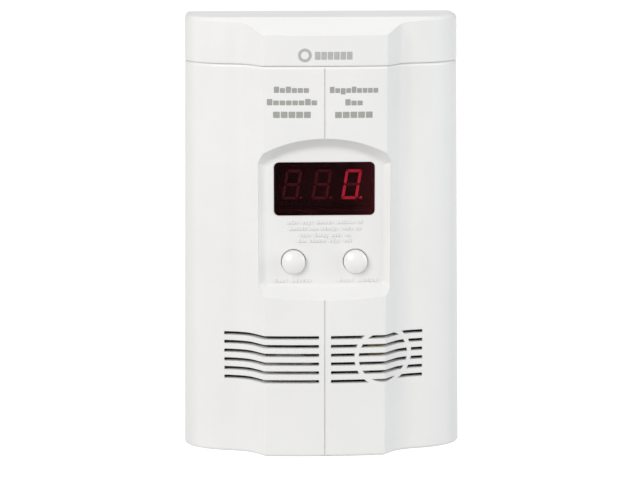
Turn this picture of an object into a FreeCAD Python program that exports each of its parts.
import FreeCAD, Part
import math
import os
from FreeCAD import Vector

# Plug-in carbon monoxide and gas alarm, in millimetres.
#
# Row frame: +X to the right as seen from the room, +Y into the wall, +Z up.  The origin lies on the
# wall plane, midway between the two plug blades.  Most numbers below are easier to read as a
# "depth" behind the frontmost line of the cover and a "height" above the bottom of the housing;
# the function at() turns (x, depth, height) into the row frame.

# ---------------------------------------------------------------- overall sizes
OVERALL_HEIGHT = 152.5
OVERALL_DEPTH = 43.0
BLADE_HEIGHT = 85.0             # height of the plug blades above the bottom
WALL = 2.4                      # thickness of the housing walls
PARTING_DEPTH = 31.0            # where the front cover meets the rear housing
SEAM_HEIGHT = 136.7             # where the battery door meets the housing
SEAM_GAP = 0.08

# Cross-section of the housing, given at the bottom and at the seam; between them it changes evenly.
# The centre panel is a shallow crown that ends in a crease, a flank falls away from the crease to a
# shallow valley, and from there a rounded lobe turns into the side.
SECTION_AT_BOTTOM = dict(crease_x=20.9, crease_depth=1.1, flank_x=24.4, flank_depth=5.5,
                         valley_x=33.0, valley_depth=10.1, side_x=49.0, side_depth=24.5,
                         side_handle=8.0)
SECTION_AT_SEAM = dict(crease_x=21.4, crease_depth=0.9, flank_x=25.6, flank_depth=7.2,
                       valley_x=33.0, valley_depth=10.6, side_x=47.7, side_depth=30.0,
                       side_handle=11.0)
VALLEY_ANGLE = math.radians(12)
VALLEY_HANDLE = 3.2             # reach of the concave curve's control points
CREASE_RADIUS = 0.8
LOBE_HANDLE = 8.4               # reach of the lobe's control point at the valley
REAR_DRAFT = 0.25               # how much narrower each side is at the wall
REAR_CORNER = 1.6

# rounding of the ends of the body and of the door: (distance from the end, inset)
BODY_BOTTOM_ROUND = ((0.0, 0.8), (0.25, 0.3), (0.8, 0.0))
BODY_TOP_ROUND = ((0.0, 0.7), (0.3, 0.25), (0.9, 0.0))
DOOR_BOTTOM_ROUND = ((0.0, 0.3), (0.15, 0.1), (0.4, 0.0))
DOOR_TOP_ROUND = ((0.0, 1.2), (0.35, 0.4), (1.2, 0.0))

# battery door
DOOR_PROUD = 0.1                # the door is this much wider than the body on each side
DOOR_WALL = 2.2
DOOR_BEVEL_HEIGHT = 147.1       # the sloped front starts here on the centre panel
DOOR_BEVEL_SLOPE = 0.39
TONGUE_X = 39.5
TONGUE_WIDTH = 6.0
TONGUE_THICKNESS = 1.6
TONGUE_DEPTH = 36.0
TONGUE_BOTTOM = 128.5
LIP_INSET = 2.5                 # upstanding lip of the body inside the door
ROOT_OVERLAP = 0.6              # how deep a lip's or deck's root reaches into the wall
LIP_THICKNESS = 1.2
LIP_TOP = 139.6
DECK_BOTTOM = 133.0
DECK_TOP = 134.6

# control recess
RECESS_DEPTH = 5.0
RECESS_HALF_WIDTH = 20.9        # at the floor
RECESS_SIDE_RUN = 5.9           # how far the sloped sides run out over the full depth
RECESS_ARCH_PEAK = 108.4
RECESS_ARCH_END = 102.4
RECESS_ARCH_RUN = 3.5
RECESS_ARCH_END_RUN = 2.6
RECESS_BOTTOM = 60.2
RECESS_BOTTOM_BOW = 0.5
RECESS_BOTTOM_RUN = 4.2
RECESS_CORNER = 1.6             # radius of the lower corners at the floor
RECESS_CORNER_RUN = 2.3         # how much larger it is over the full depth
RECESS_BLEND = 2.0              # radius between the walls and the floor
RECESS_MOUTH = -1.5             # the recess is cut from this depth

# display
WINDOW_HALF_WIDTH = 17.35
WINDOW_BOTTOM = 84.7
WINDOW_TOP = 103.1
WINDOW_CORNER = 1.7
WINDOW_PROUD = 0.3
WINDOW_FLANGE = 1.6
DISPLAY_FACE_DEPTH = 10.6
DISPLAY_HALF_WIDTH = 16.4
DISPLAY_BOTTOM = 86.6
DISPLAY_TOP = 101.2

# buttons
BUTTON_X = 10.75
BUTTON_HEIGHT = 68.5
BUTTON_RADIUS = 4.1
BUTTON_HOLE_RADIUS = 4.28
BUTTON_TOP_DEPTH = 1.6
BUTTON_DOME = 1.5
BUTTON_FLANGE_RADIUS = 5.6
BUTTON_TRAVEL = 0.6
BUTTON_EDGE = 0.55              # radius between the dome and the side
DISH_RUN = 0.25                 # countersink round each button's hole
DISH_DEPTH = 0.25
FLANGE_FRONT = RECESS_DEPTH + WALL + 0.05
FLANGE_BACK = FLANGE_FRONT + 1.2
STEM_RADIUS = 2.0
STEM_END = 12.6                 # the cap's stem meets the switch plunger here
SWITCH_FRONT = STEM_END + 2 * BUTTON_TRAVEL

# grille
SLOT_COUNT = 6
SLOT_FIRST = 26.85
SLOT_PITCH = 3.11
SLOT_WIDTH = 1.18
SLOT_CORNER = 0.3
SLOT_INNER_X = 2.05
SLOT_OUTER_X = 34.8
PORT_X = 20.5
PORT_HEIGHT = 35.1
PORT_OUTER_RADIUS = 10.25
PORT_INNER_RADIUS = 8.75
DUCT_END_DEPTH = 13.6
GROOVE_WIDTH = 0.45
GROOVE_DEPTH = 0.3

# circuit board, seen from the front
BOARD_DEPTH = 17.4
BOARD_THICKNESS = 1.6
BOARD_HALF_WIDTH = 37.2
BOARD_BOTTOM = 7.0
BOARD_TOP = 114.0
BOARD_BACK = BOARD_DEPTH + BOARD_THICKNESS
CHIP_DEPTHS = (BOARD_DEPTH - 1.6, BOARD_DEPTH - 0.15)
LEG_DEPTHS = (BOARD_DEPTH - 0.35, BOARD_DEPTH)
LEG_HALF_WIDTH = 0.2
BOARD_SCREWS = ((-33.0, 12.0), (33.0, 12.0), (-33.0, 96.0), (33.0, 96.0))
HOUSING_SCREWS = ((-40.8, 14.0), (40.8, 14.0), (-40.8, 122.0), (40.8, 122.0))
BOSS_RADIUS = 3.1
SCREW_SEAT = 37.5               # depth at which the heads of the housing screws rest
HEADER_TOP = 107.0
HORN_RADIUS = 14.0
CO_X, CO_HEIGHT, CO_RADIUS = -12.2, 27.0, 9.5
GAS_X, GAS_HEIGHT = -8.0, 47.0
SENSOR_FOOT = 16.6              # both sensors stand a little off the board

# plug adapter in the back of the housing
ADAPTER_HALF_WIDTH = 24.3
ADAPTER_BOTTOM = 59.3
ADAPTER_TOP = 110.7
ADAPTER_FRONT = 22.3
ADAPTER_WALL = 1.8
ADAPTER_PLATE = 3.0
ADAPTER_GAP = 0.3
ADAPTER_TAB_BOTTOM = 51.5
ADAPTER_TAB_HALF_WIDTH = 7.0
RECESS_WALL = 1.8
BLADE_X = 6.35
BLADE_THICKNESS = 1.5
BLADE_WIDTHS = (7.9, 6.3)       # the left blade is the wide one
BLADE_LENGTH = 16.5
BLADE_ROOT = 35.4               # depth of the blades' inner ends
PIN_X = 2.54
PIN_HEIGHT = 107.4
ADAPTER_SCREW_HEIGHT = 55.0
ADAPTER_BOARD = (33.8, 35.2)    # depths of its two faces
FUSE_HEIGHT = 70.0
CORE_BOTTOM, CORE_TOP = 90.5, 108.5
CORE_HALF_WIDTH = 14.5
CORE_DEPTHS = (27.0, 36.0)
CORE_WINDOW_X = 7.3
COIL_HALF_WIDTH = 10.2
COIL_BUILD = 2.7                # how far the coil stands out in front of and behind the core

# rating label and its pocket in the back
LABEL_HALF_WIDTH = 30.0
LABEL_BOTTOM, LABEL_TOP = 12.0, 46.0
LABEL_POCKET = 0.2
LABEL_CORNER = 1.5

# battery, lying on its side
BATTERY_LEFT = -21.8
BATTERY_LENGTH = 46.4
BATTERY_FRONT = 22.9
BATTERY_THICKNESS = 17.5
BATTERY_BOTTOM = 119.9
BATTERY_WIDTH = 26.2
BATTERY_AXIS_DEPTH = BATTERY_FRONT + BATTERY_THICKNESS / 2
STUD_SPACING = 12.7
STUD_HEIGHTS = (BATTERY_BOTTOM + (BATTERY_WIDTH - STUD_SPACING) / 2,
                BATTERY_BOTTOM + (BATTERY_WIDTH + STUD_SPACING) / 2)
CONNECTOR_HALF_WIDTH = 5.6
CONNECTOR_BACK = 4.6            # how far the snap connector stands off the battery
BAY_LEFT = -32.5
BAY_RIGHT = 25.2
BAY_FRONT = 22.4
BAY_REAR = 40.8
BAY_FLOOR = 119.6
BAY_WALL = 1.5

EPS = 0.01


# ---------------------------------------------------------------- drawing helpers
def at(x, depth, height):
    """Turn x, depth behind the front and height above the bottom into the row frame."""
    return Vector(x, depth - OVERALL_DEPTH, height - BLADE_HEIGHT)


def block(x, depth, height):
    """Box between two values of x, of depth and of height."""
    size = (x[1] - x[0], depth[1] - depth[0], height[1] - height[0])
    return Part.makeBox(size[0], size[1], size[2], at(x[0], depth[0], height[0]))


def rod(x, height, depth, radius):
    """Cylinder along the depth."""
    return Part.makeCylinder(radius, depth[1] - depth[0], at(x, depth[0], height), Vector(0, 1, 0))


def upright(x, depth, height, radius):
    """Cylinder along the height."""
    return Part.makeCylinder(radius, height[1] - height[0], at(x, depth, height[0]))


def lying(x, depth, height, radius):
    """Cylinder along x."""
    return Part.makeCylinder(radius, x[1] - x[0], at(x[0], depth, height), Vector(1, 0, 0))


def tube(x, height, depth, outer, inner):
    """Hollow cylinder along the depth."""
    return rod(x, height, depth, outer).cut(rod(x, height, (depth[0] - 1, depth[1] + 1), inner))


def fuse(shapes):
    """Join shapes that touch into one clean solid."""
    if len(shapes) == 1:
        return shapes[0]
    joined = shapes[0].multiFuse(shapes[1:]).removeSplitter()
    if joined.Volume < max(shape.Volume for shape in shapes) * 0.999:
        raise ValueError("a fuse lost material")
    return joined


def cut(shape, tools):
    """Cut every tool out of the shape."""
    return shape.cut(Part.makeCompound(tools)) if tools else shape


def mirrored(shape):
    """The same shape on the other side of the centre plane."""
    return shape.mirror(Vector(0, 0, 0), Vector(1, 0, 0))


def slab(x, depth, height, corner, through=Vector(0, 1, 0)):
    """Block whose edges along one direction, the depth unless stated, are rounded."""
    plate = block(x, depth, height)
    edges = [e for e in plate.Edges if abs(e.tangentAt(e.FirstParameter).dot(through)) > 0.99]
    return plate.makeFillet(corner, edges)


def screw(x, height, head_depth, length, radius, head_radius=2.7, head=1.9):
    """Pan-head screw with a cross recess, driven from the back; its head rests at head_depth."""
    top = head_depth + head
    shank = rod(x, height, (head_depth - length, head_depth), radius)
    cap = rod(x, height, (head_depth, top), head_radius)
    rim = [e for e in cap.Edges if e.Length > 1 and abs(e.CenterOfMass.y - at(0, top, 0).y) < EPS]
    cap = cap.makeFillet(0.6, rim)
    recess_depths = (top - 0.8, top)
    across = block((x - 1.5, x + 1.5), recess_depths, (height - 0.35, height + 0.35))
    along = block((x - 0.35, x + 0.35), recess_depths, (height - 1.5, height + 1.5))
    return fuse([shank, cap]).cut(fuse([across, along]))


def wire_run(points, radius, bend):
    """Round wire along straight runs joined by tangent arcs of one bend radius."""
    edges = []
    start = points[0]
    for before, corner, after in zip(points, points[1:], points[2:]):
        into = (corner - before).normalize()
        out = (after - corner).normalize()
        turn = into.getAngle(out)
        reach = bend * math.tan(turn / 2)
        first = corner - into * reach
        last = corner + out * reach
        bisector = (out - into).normalize()
        centre = corner + bisector * (bend / math.cos(turn / 2))
        middle = centre - bisector * bend
        edges.append(Part.LineSegment(start, first).toShape())
        edges.append(Part.Arc(first, middle, last).toShape())
        start = last
    edges.append(Part.LineSegment(start, points[-1]).toShape())
    path = Part.Wire(edges)
    circle = Part.Circle(points[0], points[1] - points[0], radius)
    profile = Part.Wire([circle.toShape()])
    return path.makePipeShell([profile], True, False)


# ---------------------------------------------------------------- outline of the housing
def section_at(height):
    """The section's named sizes at a height, changing evenly from the bottom to the seam."""
    share = height / SEAM_HEIGHT
    return {name: low + (SECTION_AT_SEAM[name] - low) * share
            for name, low in SECTION_AT_BOTTOM.items()}


def outline(height, inset):
    """Closed outline of the housing at one height, moved inwards by an even inset."""
    s = section_at(height)
    flank = math.atan2(s["flank_depth"] - s["crease_depth"], s["flank_x"] - s["crease_x"])
    crown = 2 * math.atan2(s["crease_depth"], s["crease_x"])

    def inward(x, depth, first_angle, last_angle):
        """A point moved by the inset, square to the two directions that meet there."""
        half = (last_angle - first_angle) / 2
        angle = (first_angle + last_angle) / 2
        reach = inset / math.cos(half)
        return x - math.sin(angle) * reach, depth + math.cos(angle) * reach

    crease = inward(s["crease_x"], s["crease_depth"], crown, flank)
    foot = inward(s["flank_x"], s["flank_depth"], flank, flank)
    valley = inward(s["valley_x"], s["valley_depth"], VALLEY_ANGLE, VALLEY_ANGLE)
    side = (s["side_x"] - inset, s["side_depth"])
    parting = (s["side_x"] - inset, PARTING_DEPTH)
    rear_x = s["side_x"] - inset - REAR_DRAFT
    rear_depth = OVERALL_DEPTH - inset
    corner = max(REAR_CORNER - inset, 0.4)
    flank_dir = (math.cos(flank), math.sin(flank))
    valley_dir = (math.cos(VALLEY_ANGLE), math.sin(VALLEY_ANGLE))
    concave = VALLEY_HANDLE * (1 + inset / 8)
    lobe = LOBE_HANDLE * (1 - inset / 20)
    flat = s["side_handle"] * (1 - inset / 20)

    def half(sign):
        """Edges of one side, from the crease to the rear corner."""
        def p(x, depth):
            return at(sign * x, depth, height)

        hollow = Part.BezierCurve()
        hollow.setPoles([p(*foot), p(foot[0] + flank_dir[0] * concave, foot[1] + flank_dir[1] * concave),
                         p(valley[0] - valley_dir[0] * concave, valley[1] - valley_dir[1] * concave),
                         p(*valley)])
        shoulder = Part.BezierCurve()
        shoulder.setPoles([p(*valley),
                           p(valley[0] + valley_dir[0] * lobe, valley[1] + valley_dir[1] * lobe),
                           p(side[0], side[1] - flat), p(*side)])
        bend = corner * (1 - math.sqrt(0.5))
        return [Part.LineSegment(p(*crease), p(*foot)).toShape(),
                hollow.toShape(),
                shoulder.toShape(),
                Part.LineSegment(p(*side), p(*parting)).toShape(),
                Part.LineSegment(p(*parting), p(rear_x, rear_depth - corner)).toShape(),
                Part.Arc(p(rear_x, rear_depth - corner), p(rear_x - bend, rear_depth - bend),
                         p(rear_x - corner, rear_depth)).toShape()]

    front = Part.Arc(at(-crease[0], crease[1], height), at(0, inset, height),
                     at(crease[0], crease[1], height)).toShape()
    back = Part.LineSegment(at(rear_x - corner, rear_depth, height),
                            at(corner - rear_x, rear_depth, height)).toShape()
    return Part.Wire(Part.__sortEdges__([front] + half(1) + [back] + half(-1)))


def envelope(levels):
    """Solid through the outlines at a list of (height, inset)."""
    return Part.makeLoft([outline(height, inset) for height, inset in levels], True, True)


def straight(inset, bottom, top):
    """Solid with one even inset from the housing's outline, between two heights."""
    return envelope([(bottom, inset), (top, inset)])


def ring(outer, inner, bottom, top):
    """Upright band that follows the housing between two insets."""
    return straight(outer, bottom, top).cut(straight(inner, bottom - 1, top + 1))


FRONT_SPACE = block((-60, 60), (-5, PARTING_DEPTH), (-5, 160))
REAR_SPACE = block((-60, 60), (PARTING_DEPTH, 50), (-5, 160))


# ---------------------------------------------------------------- control recess
def recess_outline(depth, grow):
    """Outline of the recess at a depth; grow moves it outwards evenly."""
    run = (RECESS_DEPTH - depth) / RECESS_DEPTH
    half = RECESS_HALF_WIDTH + RECESS_SIDE_RUN * run + grow
    peak = RECESS_ARCH_PEAK + RECESS_ARCH_RUN * run + grow
    end = RECESS_ARCH_END + RECESS_ARCH_END_RUN * run + grow
    bottom = RECESS_BOTTOM - RECESS_BOTTOM_RUN * run - grow
    low = bottom - RECESS_BOTTOM_BOW
    r = RECESS_CORNER + RECESS_CORNER_RUN * run + grow
    b = r * (1 - math.sqrt(0.5))
    points = [(half, end), (half, bottom + r), (half - b, bottom + b), (half - r, bottom)]
    right = [at(x, depth, height) for x, height in points]
    left = [at(-x, depth, height) for x, height in points]
    edges = [Part.Arc(left[0], at(0, depth, peak), right[0]),
             Part.LineSegment(*right[:2]), Part.Arc(*right[1:]),
             Part.Arc(right[3], at(0, depth, low), left[3]),
             Part.Arc(*left[:0:-1]), Part.LineSegment(left[1], left[0])]
    return Part.Wire([edge.toShape() for edge in edges])


def recess(grow, floor):
    """Solid of the recess, from in front of the cover down to its floor."""
    return Part.makeLoft([recess_outline(floor, grow), recess_outline(RECESS_MOUTH, grow)], True, True)


def recess_cutter():
    """The recess as it is cut from the cover, its walls blended into its floor."""
    solid = recess(0, RECESS_DEPTH)
    foot = [e for e in solid.Edges if abs(e.CenterOfMass.y - at(0, RECESS_DEPTH, 0).y) < EPS]
    return solid.makeFillet(RECESS_BLEND, foot)


# ---------------------------------------------------------------- housing
def soften_creases(solid):
    """Round the two long creases beside the centre panel."""
    creases = []
    for edge in solid.Edges:
        ends = [vertex.Point for vertex in edge.Vertexes]
        if len(ends) != 2 or abs(ends[0].z - ends[1].z) < 3:
            continue
        near = section_at(ends[0].z + BLADE_HEIGHT)
        depth = ends[0].y + OVERALL_DEPTH
        if abs(abs(ends[0].x) - near["crease_x"]) < 0.5 and abs(depth - near["crease_depth"]) < 0.5:
            creases.append(edge)
    return solid.makeFillet(CREASE_RADIUS, creases)


def body_shell():
    """Both halves of the body as one solid, before the interior is hollowed."""
    lower = list(BODY_BOTTOM_ROUND)
    upper = [(SEAM_HEIGHT - SEAM_GAP / 2 - distance, inset) for distance, inset in reversed(BODY_TOP_ROUND)]
    return soften_creases(envelope(lower + upper))


def slots():
    """Cutters of the grille, six to a side."""
    cutters = []
    for row in range(SLOT_COUNT):
        height = SLOT_FIRST + SLOT_PITCH * row
        half = SLOT_WIDTH / 2
        slot = slab((SLOT_INNER_X, SLOT_OUTER_X), (-2, 18), (height - half, height + half), SLOT_CORNER)
        cutters += [slot, mirrored(slot)]
    return cutters


def door_lip(space):
    """Upstanding lip inside the door's wall, and the thicker wall that carries it."""
    lip = ring(LIP_INSET, LIP_INSET + LIP_THICKNESS, DECK_BOTTOM + 0.5, LIP_TOP)
    root = ring(WALL - ROOT_OVERLAP, LIP_INSET + LIP_THICKNESS - 0.2, DECK_BOTTOM + 0.3, SEAM_HEIGHT - 1.2)
    return [lip.common(space), root.common(space)]


def front_cover():
    shell = body_shell().common(FRONT_SPACE)
    hollow = straight(WALL, WALL, SEAM_HEIGHT + 5)
    hollow = hollow.cut(recess(WALL, RECESS_DEPTH + WALL))
    cover = shell.cut(hollow)
    deck = straight(WALL - ROOT_OVERLAP, DECK_BOTTOM, DECK_TOP)
    deck = deck.cut(block((BAY_LEFT - BAY_WALL - 0.3, BAY_RIGHT + BAY_WALL + 0.3),
                          (BAY_FRONT - BAY_WALL - 0.3, 50), (100, 160)))
    inner = door_lip(FRONT_SPACE) + [deck.common(FRONT_SPACE)]
    core = straight(1.2, 0.5, SEAM_HEIGHT - 3)
    inner += [rod(x, h, (0, PARTING_DEPTH), BOSS_RADIUS).common(core) for x, h in HOUSING_SCREWS]
    inner += [rod(x, h, (0, BOARD_DEPTH), 2.8).common(core) for x, h in BOARD_SCREWS]
    cover = fuse([cover] + inner)
    cutters = [recess_cutter()]
    cutters += slots()
    cutters += [rod(x, h, (PARTING_DEPTH - 14, PARTING_DEPTH + 1), 1.25) for x, h in HOUSING_SCREWS]
    cutters += [rod(x, h, (BOARD_DEPTH - 3.5, BOARD_DEPTH + 1), 0.95) for x, h in BOARD_SCREWS]
    cutters.append(block((-GROOVE_WIDTH / 2, GROOVE_WIDTH / 2), (-1, GROOVE_DEPTH), (-1, 150)))
    clear = 0.1
    cutters.append(slab((-WINDOW_HALF_WIDTH - clear, WINDOW_HALF_WIDTH + clear), (3, 9),
                        (WINDOW_BOTTOM - clear, WINDOW_TOP + clear), WINDOW_CORNER + clear))
    for x in (-BUTTON_X, BUTTON_X):
        cutters.append(rod(x, BUTTON_HEIGHT, (3, 9), BUTTON_HOLE_RADIUS))
        dish = Part.makeCone(BUTTON_HOLE_RADIUS + DISH_RUN, BUTTON_HOLE_RADIUS - 0.1, DISH_DEPTH,
                             at(x, RECESS_DEPTH - EPS, BUTTON_HEIGHT), Vector(0, 1, 0))
        cutters.append(dish)
    cover = cut(cover, cutters)
    duct = tube(PORT_X, PORT_HEIGHT, (-2, DUCT_END_DEPTH), PORT_OUTER_RADIUS, PORT_INNER_RADIUS)
    return fuse([cover, duct.common(body_shell())])


def parting_tongue():
    """Rim of the rear housing that reaches into the front cover and locates it."""
    top = DECK_BOTTOM - 1
    inside = straight(WALL + 1.3, WALL + 1.3, DECK_BOTTOM)
    free = straight(WALL + 0.15, WALL + 0.15, top).cut(inside)
    rooted = straight(WALL - ROOT_OVERLAP, WALL - ROOT_OVERLAP, top - 0.3).cut(inside)
    return [free.common(block((-60, 60), (PARTING_DEPTH - 1.5, PARTING_DEPTH + 2), (-5, 160))),
            rooted.common(block((-60, 60), (PARTING_DEPTH, PARTING_DEPTH + 2.5), (-5, 160)))]


def rear_housing():
    shell = body_shell().common(REAR_SPACE)
    cover = shell.cut(straight(WALL, WALL, SEAM_HEIGHT + 5))
    deck = straight(WALL - ROOT_OVERLAP, DECK_BOTTOM, DECK_TOP)
    deck = deck.cut(block((-TONGUE_X - 3.4, -TONGUE_X + 3.4), (TONGUE_DEPTH - 1.3, TONGUE_DEPTH + 1.3),
                          (100, 160)))
    deck = deck.cut(block((TONGUE_X - 3.4, TONGUE_X + 3.4), (TONGUE_DEPTH - 1.3, TONGUE_DEPTH + 1.3),
                          (100, 160)))
    parts = [cover, deck.common(REAR_SPACE)] + door_lip(REAR_SPACE)
    parts += [rod(x, h, (PARTING_DEPTH, OVERALL_DEPTH - 1), BOSS_RADIUS + 0.7) for x, h in HOUSING_SCREWS]
    parts += parting_tongue()
    # walls round the plug adapter
    side = ADAPTER_HALF_WIDTH + ADAPTER_GAP
    low, high = ADAPTER_BOTTOM - ADAPTER_GAP, ADAPTER_TOP + ADAPTER_GAP
    front = ADAPTER_FRONT - ADAPTER_GAP
    parts.append(slab((-side - RECESS_WALL, side + RECESS_WALL), (front - RECESS_WALL, OVERALL_DEPTH - 1),
                      (low - RECESS_WALL, high + RECESS_WALL), 3.0))
    # boss for the adapter's screw
    parts.append(rod(0, ADAPTER_SCREW_HEIGHT, (PARTING_DEPTH + 2, OVERALL_DEPTH - 1), 3.6))
    # battery bay
    parts.append(block((BAY_LEFT - BAY_WALL, BAY_RIGHT + BAY_WALL),
                       (BAY_FRONT - BAY_WALL, OVERALL_DEPTH - 1),
                       (BAY_FLOOR - BAY_WALL, DECK_TOP)))
    housing = fuse(parts)
    cutters = [slab((-side, side), (front, OVERALL_DEPTH + 1), (low, high), 2.0)]
    tab = ADAPTER_TAB_HALF_WIDTH + ADAPTER_GAP
    cutters.append(block((-tab, tab), (OVERALL_DEPTH - ADAPTER_PLATE - 0.1, OVERALL_DEPTH + 1),
                         (ADAPTER_TAB_BOTTOM - ADAPTER_GAP, low + 1)))
    cutters.append(rod(0, ADAPTER_SCREW_HEIGHT, (PARTING_DEPTH + 1, OVERALL_DEPTH), 1.2))
    cutters.append(block((BAY_LEFT, BAY_RIGHT), (BAY_FRONT, BAY_REAR), (BAY_FLOOR, 160)))
    cutters.append(block((BAY_LEFT, BAY_LEFT + 4.6), (27.5, 33.5), (BAY_FLOOR - 5, BAY_FLOOR + 1)))
    for x in (-PIN_X, PIN_X):
        cutters.append(rod(x, PIN_HEIGHT, (front - RECESS_WALL - 1, front + 1), 1.0))
    for x, h in HOUSING_SCREWS:
        cutters.append(rod(x, h, (PARTING_DEPTH - 1, OVERALL_DEPTH + 1), 1.7))
        cutters.append(rod(x, h, (SCREW_SEAT, OVERALL_DEPTH + 1), 3.0))
    edge = LABEL_HALF_WIDTH + 0.5
    cutters.append(slab((-edge, edge), (OVERALL_DEPTH - LABEL_POCKET, OVERALL_DEPTH + 1),
                        (LABEL_BOTTOM - 0.5, LABEL_TOP + 0.5), LABEL_CORNER))
    return cut(housing, cutters)


def battery_door():
    bottom = SEAM_HEIGHT + SEAM_GAP / 2
    lower = [(bottom + distance, inset - DOOR_PROUD) for distance, inset in DOOR_BOTTOM_ROUND]
    upper = [(OVERALL_HEIGHT - distance, inset - DOOR_PROUD)
             for distance, inset in reversed(DOOR_TOP_ROUND)]
    outer = soften_creases(envelope(lower + upper))
    hollow = straight(DOOR_WALL, bottom - 1, OVERALL_HEIGHT - DOOR_WALL)
    back = block((-60, 60), (OVERALL_DEPTH, 60), (100, 200))

    def bevel(drop):
        """Everything above the sloped front, lowered by a drop."""
        low = DOOR_BEVEL_HEIGHT - drop
        profile = Part.makePolygon([at(-70, -10, low - 10 * DOOR_BEVEL_SLOPE),
                                    at(-70, 40, low + 40 * DOOR_BEVEL_SLOPE),
                                    at(-70, 40, 200), at(-70, -10, 200),
                                    at(-70, -10, low - 10 * DOOR_BEVEL_SLOPE)])
        return Part.Face(profile).extrude(Vector(140, 0, 0))

    outer = outer.cut(bevel(0)).cut(back)
    hollow = hollow.cut(bevel(DOOR_WALL * 1.07))
    door = outer.cut(hollow)
    pieces = [door]
    for x in (-TONGUE_X, TONGUE_X):
        pieces.append(block((x - TONGUE_WIDTH / 2, x + TONGUE_WIDTH / 2),
                            (TONGUE_DEPTH - TONGUE_THICKNESS / 2, TONGUE_DEPTH + TONGUE_THICKNESS / 2),
                            (TONGUE_BOTTOM, OVERALL_HEIGHT - DOOR_WALL + 0.5)))
    return fuse(pieces)


# ---------------------------------------------------------------- display
def display_window():
    x = (-WINDOW_HALF_WIDTH, WINDOW_HALF_WIDTH)
    front = RECESS_DEPTH - WINDOW_PROUD
    pane = slab(x, (front, RECESS_DEPTH + WALL + 0.1), (WINDOW_BOTTOM, WINDOW_TOP), WINDOW_CORNER)
    rim = [e for e in pane.Edges if abs(e.BoundBox.YMax - at(0, front, 0).y) < EPS]
    pane = pane.makeChamfer(0.28, rim)
    flange = slab((x[0] - WINDOW_FLANGE, x[1] + WINDOW_FLANGE),
                  (RECESS_DEPTH + WALL + 0.05, RECESS_DEPTH + WALL + 1.0),
                  (WINDOW_BOTTOM - WINDOW_FLANGE, WINDOW_TOP + WINDOW_FLANGE - 0.3), 1.5)
    return fuse([pane, flange])


def display_shroud():
    front = RECESS_DEPTH + WALL + 1.05
    outer = slab((-18.6, 18.6), (front, BOARD_DEPTH), (84.0, 104.3), 1.0)
    opening = block((-DISPLAY_HALF_WIDTH - 0.1, DISPLAY_HALF_WIDTH + 0.1), (front - 1, BOARD_DEPTH + 1),
                    (DISPLAY_BOTTOM - 0.1, DISPLAY_TOP + 0.1))
    return outer.cut(opening)


def display_module():
    return block((-DISPLAY_HALF_WIDTH, DISPLAY_HALF_WIDTH), (DISPLAY_FACE_DEPTH, BOARD_DEPTH),
                 (DISPLAY_BOTTOM, DISPLAY_TOP))


# ---------------------------------------------------------------- buttons and their switches
def button(x):
    """Domed cap, retaining flange and stem, turned from one profile."""
    def p(radius, depth):
        return at(x + radius, depth, BUTTON_HEIGHT)

    ball = (BUTTON_RADIUS ** 2 + BUTTON_DOME ** 2) / (2 * BUTTON_DOME)
    half_angle = math.asin(BUTTON_RADIUS / ball) / 2
    middle = p(ball * math.sin(half_angle), BUTTON_TOP_DEPTH + ball * (1 - math.cos(half_angle)))
    shoulder = p(BUTTON_RADIUS, BUTTON_TOP_DEPTH + BUTTON_DOME)
    corners = [shoulder, p(BUTTON_RADIUS, FLANGE_FRONT), p(BUTTON_FLANGE_RADIUS, FLANGE_FRONT),
               p(BUTTON_FLANGE_RADIUS, FLANGE_BACK), p(STEM_RADIUS, FLANGE_BACK),
               p(STEM_RADIUS, STEM_END), p(0, STEM_END), p(0, BUTTON_TOP_DEPTH)]
    edges = [Part.Arc(p(0, BUTTON_TOP_DEPTH), middle, shoulder).toShape()]
    edges += [Part.LineSegment(a, b).toShape() for a, b in zip(corners, corners[1:])]
    turned = Part.Face(Part.Wire(edges)).revolve(p(0, 0), Vector(0, 1, 0), 360)
    rim = [e for e in turned.Edges if e.Length > 20 and abs(e.CenterOfMass.y - shoulder.y) < EPS]
    return turned.makeFillet(BUTTON_EDGE, rim)


def switch_body(x):
    body = slab((x - 3.0, x + 3.0), (SWITCH_FRONT, BOARD_DEPTH), (BUTTON_HEIGHT - 3, BUTTON_HEIGHT + 3), 0.4)
    return body.cut(rod(x, BUTTON_HEIGHT, (SWITCH_FRONT - 1, 16.2), 1.85))


def switch_plunger(x):
    return rod(x, BUTTON_HEIGHT, (STEM_END, 15.2), 1.7)


# ---------------------------------------------------------------- circuit board
def main_circuit_board():
    board = slab((-BOARD_HALF_WIDTH, BOARD_HALF_WIDTH), (BOARD_DEPTH, BOARD_BACK),
                 (BOARD_BOTTOM, BOARD_TOP), 2.0)
    cutters = [rod(PORT_X, PORT_HEIGHT, (BOARD_DEPTH - 1, BOARD_BACK + 1), HORN_RADIUS + 0.2)]
    cutters += [rod(x, h, (BOARD_DEPTH - 1, BOARD_BACK + 1), 1.3) for x, h in BOARD_SCREWS]
    cutters += [rod(x, PIN_HEIGHT, (BOARD_DEPTH - 1, BOARD_BACK + 1), 0.75) for x in (-PIN_X, PIN_X)]
    cutters += [rod(x, h, (BOARD_DEPTH - 1, BOARD_BACK + 1), r) for x, h, r in sensor_pin_places()]
    return cut(board, cutters)


def microcontroller():
    x, height, half = 28.0, 80.0, 4.5
    body = block((x - half, x + half), CHIP_DEPTHS, (height - half, height + half))
    reach = half + 0.9
    legs = []
    for i in range(8):
        step = i - 3.5
        legs.append(block((x - reach, x + reach), LEG_DEPTHS,
                          (height + step - LEG_HALF_WIDTH, height + step + LEG_HALF_WIDTH)))
        legs.append(block((x + step - LEG_HALF_WIDTH, x + step + LEG_HALF_WIDTH), LEG_DEPTHS,
                          (height - reach, height + reach)))
    return fuse([body] + legs)


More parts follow.
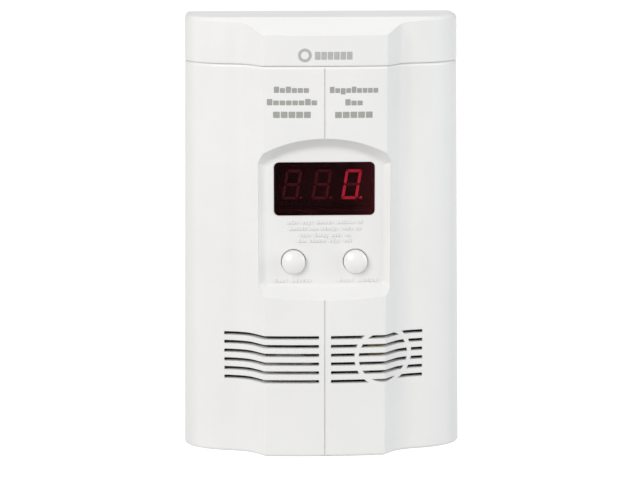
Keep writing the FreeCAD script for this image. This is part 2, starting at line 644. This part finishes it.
def amplifier_chips():
    chips = []
    for x, height in ((-28.0, 84.0), (-28.0, 70.0), (28.0, 62.0)):
        body = block((x - 2.0, x + 2.0), CHIP_DEPTHS, (height - 2.5, height + 2.5))
        legs = [block((x - 3.1, x + 3.1), LEG_DEPTHS,
                      (height + step - LEG_HALF_WIDTH, height + step + LEG_HALF_WIDTH))
                for step in (-1.9, -0.63, 0.63, 1.9)]
        chips.append(fuse([body] + legs))
    return Part.makeCompound(chips)


def electrolytic_capacitors():
    cans = []
    for x, height, radius, length in ((-27.5, 46.0, 4.0, 12.0), (-17.5, 46.0, 4.0, 12.0),
                                      (-27.0, 33.0, 3.2, 11.0)):
        can = rod(x, height, (BOARD_BACK, BOARD_BACK + length), radius)
        rims = [e for e in can.Edges if abs(e.CenterOfMass.y - at(0, BOARD_BACK + length, 0).y) < EPS]
        cans.append(can.makeFillet(0.7, [e for e in rims if e.Length > 1]))
    return Part.makeCompound(cans)


def resistors():
    """Axial resistors lying on the back of the board."""
    pieces = []
    depth = BOARD_BACK + 1.4
    for x, height in ((18.5, 8.7), (18.5, 11.8), (18.5, 14.9), (5.0, 8.7), (5.0, 11.8)):
        body = lying((x - 3.0, x + 3.0), depth, height, 1.1)
        lead = lying((x - 5.4, x + 5.4), depth, height, 0.3)
        feet = [rod(x + side * 5.0, height, (BOARD_BACK, depth), 0.22) for side in (-1, 1)]
        pieces.append(fuse([body, lead] + feet))
    return Part.makeCompound(pieces)


def horn_transformer():
    x, height = -26.0, 18.0
    ferrite = [rod(x, height, (BOARD_BACK, BOARD_BACK + 1.5), 5.5),
               rod(x, height, (BOARD_BACK + 1.5, BOARD_BACK + 9.5), 4.4),
               rod(x, height, (BOARD_BACK + 9.5, BOARD_BACK + 11), 5.5)]
    return fuse(ferrite)


def power_socket():
    body = block((-5.2, 5.2), (9.2, BOARD_DEPTH), (PIN_HEIGHT - 2.4, PIN_HEIGHT + 2.6))
    holes = [rod(x, PIN_HEIGHT, (11, BOARD_DEPTH + 1), 0.7) for x in (-PIN_X, PIN_X)]
    return cut(body, holes)


def battery_header():
    return block((-32.9, -27.0), (BOARD_BACK, BOARD_BACK + 6.0), (HEADER_TOP - 5.5, HEADER_TOP))


# ---------------------------------------------------------------- sensors
def co_sensor():
    body = rod(CO_X, CO_HEIGHT, (6.4, SENSOR_FOOT), CO_RADIUS)
    rims = [e for e in body.Edges if e.Length > 20]
    return body.makeFillet(0.6, rims)


def co_sensor_cap():
    cap = rod(CO_X, CO_HEIGHT, (5.0, 6.4), 6.2)
    holes = [rod(CO_X + 3 * math.cos(a), CO_HEIGHT + 3 * math.sin(a), (4, 6.0), 0.8)
             for a in (0, math.tau / 4, math.tau / 2, math.tau * 3 / 4)]
    return cut(cap, holes + [rod(CO_X, CO_HEIGHT, (4, 6.0), 0.8)])


def gas_sensor_base():
    return fuse([rod(GAS_X, GAS_HEIGHT, (13.4, SENSOR_FOOT), 4.6),
                 rod(GAS_X, GAS_HEIGHT, (SENSOR_FOOT - 1, SENSOR_FOOT), 5.1)])


def gas_sensor_can():
    can = tube(GAS_X, GAS_HEIGHT, (7.6, 13.4), 4.4, 4.0)
    lid = tube(GAS_X, GAS_HEIGHT, (7.6, 8.0), 4.3, 2.9)
    mesh = rod(GAS_X, GAS_HEIGHT, (8.0, 8.3), 4.1)
    return fuse([can, lid, mesh])


def sensor_pin_places():
    """Places and radii of the pins: three under the CO cell, six under the gas sensor."""
    places = []
    for i in range(3):
        turn = math.tau * (i / 3 + 0.25)
        places.append((CO_X + 6.2 * math.cos(turn), CO_HEIGHT + 6.2 * math.sin(turn), 0.5))
    for i in range(6):
        turn = math.tau * (i + 0.5) / 6
        places.append((GAS_X + 3.2 * math.cos(turn), GAS_HEIGHT + 3.2 * math.sin(turn), 0.35))
    return places


def sensor_pins():
    return [rod(x, height, (SENSOR_FOOT, BOARD_BACK + 1.2), radius)
            for x, height, radius in sensor_pin_places()]


# ---------------------------------------------------------------- sounder
def horn_resonator():
    cup = rod(PORT_X, PORT_HEIGHT, (DUCT_END_DEPTH + 1.0, BOARD_BACK + 1.2), HORN_RADIUS)
    flange = rod(PORT_X, PORT_HEIGHT, (BOARD_BACK, BOARD_BACK + 1.2), HORN_RADIUS + 2.6)
    rear = rod(PORT_X, PORT_HEIGHT, (BOARD_BACK + 1.2, BOARD_BACK + 4.0), HORN_RADIUS + 0.8)
    horn = fuse([cup, flange, rear])
    hollow = rod(PORT_X, PORT_HEIGHT, (DUCT_END_DEPTH + 2.2, BOARD_BACK + 2.0), HORN_RADIUS - 1.5)
    seat = rod(PORT_X, PORT_HEIGHT, (BOARD_BACK + 2.0, BOARD_BACK + 5.0), HORN_RADIUS - 0.4)
    mouth = rod(PORT_X, PORT_HEIGHT, (DUCT_END_DEPTH, DUCT_END_DEPTH + 3), 5.0)
    return cut(horn, [hollow, seat, mouth])


def piezo_disc():
    brass = rod(PORT_X, PORT_HEIGHT, (BOARD_BACK + 2.0, BOARD_BACK + 2.3), HORN_RADIUS - 0.5)
    ceramic = rod(PORT_X, PORT_HEIGHT, (BOARD_BACK + 2.3, BOARD_BACK + 2.55), 9.5)
    return fuse([brass, ceramic])


def horn_gasket():
    return tube(PORT_X, PORT_HEIGHT, (DUCT_END_DEPTH, DUCT_END_DEPTH + 1.0), 12.5, PORT_INNER_RADIUS)


def horn_leads():
    leads = []
    for x, radius_out, end in ((13.5, 8.0, (0.8, 20.0)), (16.5, 11.5, (3.2, 15.5))):
        start_depth = BOARD_BACK + (2.55 if radius_out < 9.5 else 2.3)
        height = PORT_HEIGHT - math.sqrt(radius_out ** 2 - (x - PORT_X) ** 2)
        points = [at(x, start_depth, height), at(x, start_depth + 4.5, height),
                  at(end[0], start_depth + 4.5, end[1]), at(end[0], BOARD_BACK, end[1])]
        leads.append(wire_run(points, 0.5, 1.9))
    return leads


# ---------------------------------------------------------------- battery and its leads
def battery():
    return slab((BATTERY_LEFT, BATTERY_LEFT + BATTERY_LENGTH),
                (BATTERY_FRONT, BATTERY_FRONT + BATTERY_THICKNESS),
                (BATTERY_BOTTOM, BATTERY_BOTTOM + BATTERY_WIDTH), 1.6, Vector(1, 0, 0))


def battery_terminals():
    low, high = STUD_HEIGHTS
    small = lying((BATTERY_LEFT - 2.6, BATTERY_LEFT), BATTERY_AXIS_DEPTH, low, 2.85)
    large = lying((BATTERY_LEFT - 2.6, BATTERY_LEFT), BATTERY_AXIS_DEPTH, high, 4.0)
    large = large.cut(lying((BATTERY_LEFT - 3, BATTERY_LEFT - 0.5), BATTERY_AXIS_DEPTH, high, 2.9))
    return [small, large]


def battery_connector():
    low, high = STUD_HEIGHTS
    half = CONNECTOR_HALF_WIDTH
    plate = slab((BATTERY_LEFT - CONNECTOR_BACK, BATTERY_LEFT - 0.4),
                 (BATTERY_AXIS_DEPTH - half, BATTERY_AXIS_DEPTH + half), (low - half, high + half),
                 2.0, Vector(1, 0, 0))
    holes = [lying((BATTERY_LEFT - 2.8, BATTERY_LEFT), BATTERY_AXIS_DEPTH, low, 2.95),
             lying((BATTERY_LEFT - 2.8, BATTERY_LEFT), BATTERY_AXIS_DEPTH, high, 4.1)]
    return cut(plate, holes)


def battery_lead(depth, x):
    """Lead from the snap connector, out of the bay's floor and into the header on the board."""
    leave = STUD_HEIGHTS[0] - 3.0
    plug_depth = BOARD_BACK + 3.6
    points = [at(BATTERY_LEFT - CONNECTOR_BACK, depth, leave), at(x, depth, leave), at(x, depth, 114.0),
              at(x, plug_depth, 110.5), at(x, plug_depth, HEADER_TOP)]
    return wire_run(points, 0.65, 2.0)


# ---------------------------------------------------------------- plug adapter
def adapter_case():
    x = (-ADAPTER_HALF_WIDTH, ADAPTER_HALF_WIDTH)
    rear = OVERALL_DEPTH - ADAPTER_PLATE
    outer = slab(x, (ADAPTER_FRONT, rear), (ADAPTER_BOTTOM, ADAPTER_TOP), 2.0)
    w = ADAPTER_WALL
    inner = block((x[0] + w, x[1] - w), (ADAPTER_FRONT + w, rear + 1), (ADAPTER_BOTTOM + w, ADAPTER_TOP - w))
    holes = [rod(s * PIN_X, PIN_HEIGHT, (ADAPTER_FRONT - 1, ADAPTER_FRONT + w + 1), 0.6) for s in (-1, 1)]
    return cut(outer, [inner] + holes)


def adapter_back():
    rear = OVERALL_DEPTH
    plate = slab((-ADAPTER_HALF_WIDTH, ADAPTER_HALF_WIDTH), (rear - ADAPTER_PLATE, rear),
                 (ADAPTER_BOTTOM, ADAPTER_TOP), 2.0)
    tab = block((-ADAPTER_TAB_HALF_WIDTH, ADAPTER_TAB_HALF_WIDTH), (rear - ADAPTER_PLATE, rear),
                (ADAPTER_TAB_BOTTOM, ADAPTER_BOTTOM + 3))
    plate = fuse([plate, tab])
    cutters = [rod(0, ADAPTER_SCREW_HEIGHT, (rear - 5, rear + 1), 1.6),
               rod(0, ADAPTER_SCREW_HEIGHT, (rear - 2.0, rear + 1), 2.9)]
    for x, width in zip((-BLADE_X, BLADE_X), BLADE_WIDTHS):
        cutters.append(block((x - BLADE_THICKNESS / 2, x + BLADE_THICKNESS / 2), (rear - 5, rear + 1),
                             (BLADE_HEIGHT - width / 2, BLADE_HEIGHT + width / 2)))
    return cut(plate, cutters)


def plug_blades():
    blades = []
    for x, width in zip((-BLADE_X, BLADE_X), BLADE_WIDTHS):
        blade = block((x - BLADE_THICKNESS / 2, x + BLADE_THICKNESS / 2),
                      (BLADE_ROOT, OVERALL_DEPTH + BLADE_LENGTH),
                      (BLADE_HEIGHT - width / 2, BLADE_HEIGHT + width / 2))
        tip = [e for e in blade.Edges if abs(e.CenterOfMass.y - BLADE_LENGTH) < EPS
               and abs(e.tangentAt(e.FirstParameter).x) > 0.99]
        blade = blade.makeChamfer(1.6, tip)
        hole = lying((x - 2, x + 2), OVERALL_DEPTH + 11.7, BLADE_HEIGHT, 1.6)
        blades.append(blade.cut(hole))
    return blades


def transformer_core():
    core = block((-CORE_HALF_WIDTH, CORE_HALF_WIDTH), CORE_DEPTHS, (CORE_BOTTOM, CORE_TOP - 2.0))
    windows = [block((x - 3.1, x + 3.1), (20, 40), (CORE_BOTTOM + 3.4, CORE_TOP - 5.4))
               for x in (-CORE_WINDOW_X, CORE_WINDOW_X)]
    return cut(core, windows)


def transformer_coil():
    height = (CORE_BOTTOM + 3.6, CORE_TOP - 5.6)
    depth = (CORE_DEPTHS[0] - COIL_BUILD, CORE_DEPTHS[1] + COIL_BUILD)
    coil = slab((-COIL_HALF_WIDTH, COIL_HALF_WIDTH), depth, height, 2.0, Vector(0, 0, 1))
    return coil.cut(block((-4.3, 4.3), (CORE_DEPTHS[0] - 0.05, CORE_DEPTHS[1] + 0.05), (80, 120)))


def adapter_board():
    return slab((-20.0, 20.0), ADAPTER_BOARD, (63.5, 89.5), 1.0)


def adapter_diodes():
    pieces = []
    for x in (-15.0, -10.0, 10.0, 15.0):
        body = upright(x, ADAPTER_BOARD[0] - 1.6, (68.0, 73.2), 1.35)
        leads = upright(x, ADAPTER_BOARD[0] - 1.6, (65.5, 75.7), 0.4)
        feet = [rod(x, h, (ADAPTER_BOARD[0] - 1.6, ADAPTER_BOARD[0]), 0.3) for h in (66.0, 75.2)]
        pieces.append(fuse([body, leads] + feet))
    return Part.makeCompound(pieces)


def adapter_fuse():
    x, depth = 0.0, ADAPTER_BOARD[0] - 2.4
    glass = lying((x - 4.5, x + 4.5), depth, FUSE_HEIGHT, 1.7)
    caps = [lying((x - 6.2, x - 4.5), depth, FUSE_HEIGHT, 2.0),
            lying((x + 4.5, x + 6.2), depth, FUSE_HEIGHT, 2.0)]
    feet = [rod(x + s * 5.4, FUSE_HEIGHT, (depth, ADAPTER_BOARD[0]), 0.5) for s in (-1, 1)]
    return fuse([glass] + caps + feet)


def adapter_pins():
    return [rod(s * PIN_X, PIN_HEIGHT, (12.5, ADAPTER_FRONT + 4.2), 0.55) for s in (-1, 1)]


# ---------------------------------------------------------------- fasteners and label
def housing_screws():
    return [screw(x, h, SCREW_SEAT, 16.0, 1.25) for x, h in HOUSING_SCREWS]


def board_screws():
    return [screw(x, h, BOARD_BACK, 4.6, 0.95, head_radius=2.0, head=1.4)
            for x, h in BOARD_SCREWS]


def adapter_screw():
    return screw(0, ADAPTER_SCREW_HEIGHT, OVERALL_DEPTH - 2.0, 8.0, 1.2, head_radius=2.5, head=1.6)


def rating_label():
    return slab((-LABEL_HALF_WIDTH, LABEL_HALF_WIDTH), (OVERALL_DEPTH - LABEL_POCKET, OVERALL_DEPTH - 0.05),
                (LABEL_BOTTOM, LABEL_TOP), LABEL_CORNER)


# ---------------------------------------------------------------- write the parts
def as_shape(made):
    return Part.makeCompound(made) if isinstance(made, list) else made


PARTS = {
    "front_cover": front_cover,
    "rear_housing": rear_housing,
    "battery_door": battery_door,
    "display_window": display_window,
    "display_shroud": display_shroud,
    "display_module": display_module,
    "test_reset_button": lambda: button(-BUTTON_X),
    "peak_level_button": lambda: button(BUTTON_X),
    "test_switch_body": lambda: switch_body(-BUTTON_X),
    "peak_switch_body": lambda: switch_body(BUTTON_X),
    "test_switch_plunger": lambda: switch_plunger(-BUTTON_X),
    "peak_switch_plunger": lambda: switch_plunger(BUTTON_X),
    "main_circuit_board": main_circuit_board,
    "microcontroller": microcontroller,
    "amplifier_chips": amplifier_chips,
    "electrolytic_capacitors": electrolytic_capacitors,
    "resistors": resistors,
    "horn_transformer": horn_transformer,
    "power_socket": power_socket,
    "battery_header": battery_header,
    "co_sensor": co_sensor,
    "co_sensor_cap": co_sensor_cap,
    "gas_sensor_base": gas_sensor_base,
    "gas_sensor_can": gas_sensor_can,
    "sensor_pins": sensor_pins,
    "horn_resonator": horn_resonator,
    "piezo_disc": piezo_disc,
    "horn_gasket": horn_gasket,
    "horn_leads": horn_leads,
    "battery": battery,
    "battery_terminals": battery_terminals,
    "battery_connector": battery_connector,
    "battery_lead_red": lambda: battery_lead(BATTERY_AXIS_DEPTH - 2.2, -31.2),
    "battery_lead_black": lambda: battery_lead(BATTERY_AXIS_DEPTH + 0.2, -29.0),
    "adapter_case": adapter_case,
    "adapter_back": adapter_back,
    "plug_blades": plug_blades,
    "transformer_core": transformer_core,
    "transformer_coil": transformer_coil,
    "adapter_board": adapter_board,
    "adapter_diodes": adapter_diodes,
    "adapter_fuse": adapter_fuse,
    "adapter_pins": adapter_pins,
    "housing_screws": housing_screws,
    "board_screws": board_screws,
    "adapter_screw": adapter_screw,
    "rating_label": rating_label,
}

os.makedirs("parts", exist_ok=True)
for name, make in PARTS.items():
    shape = as_shape(make())
    solids = len(shape.Solids)
    print(f"{name:26s} solids {solids:2d}  valid {shape.isValid()}  volume {shape.Volume:10.2f} mm3")
    shape.exportStep(f"parts/{name}.step")
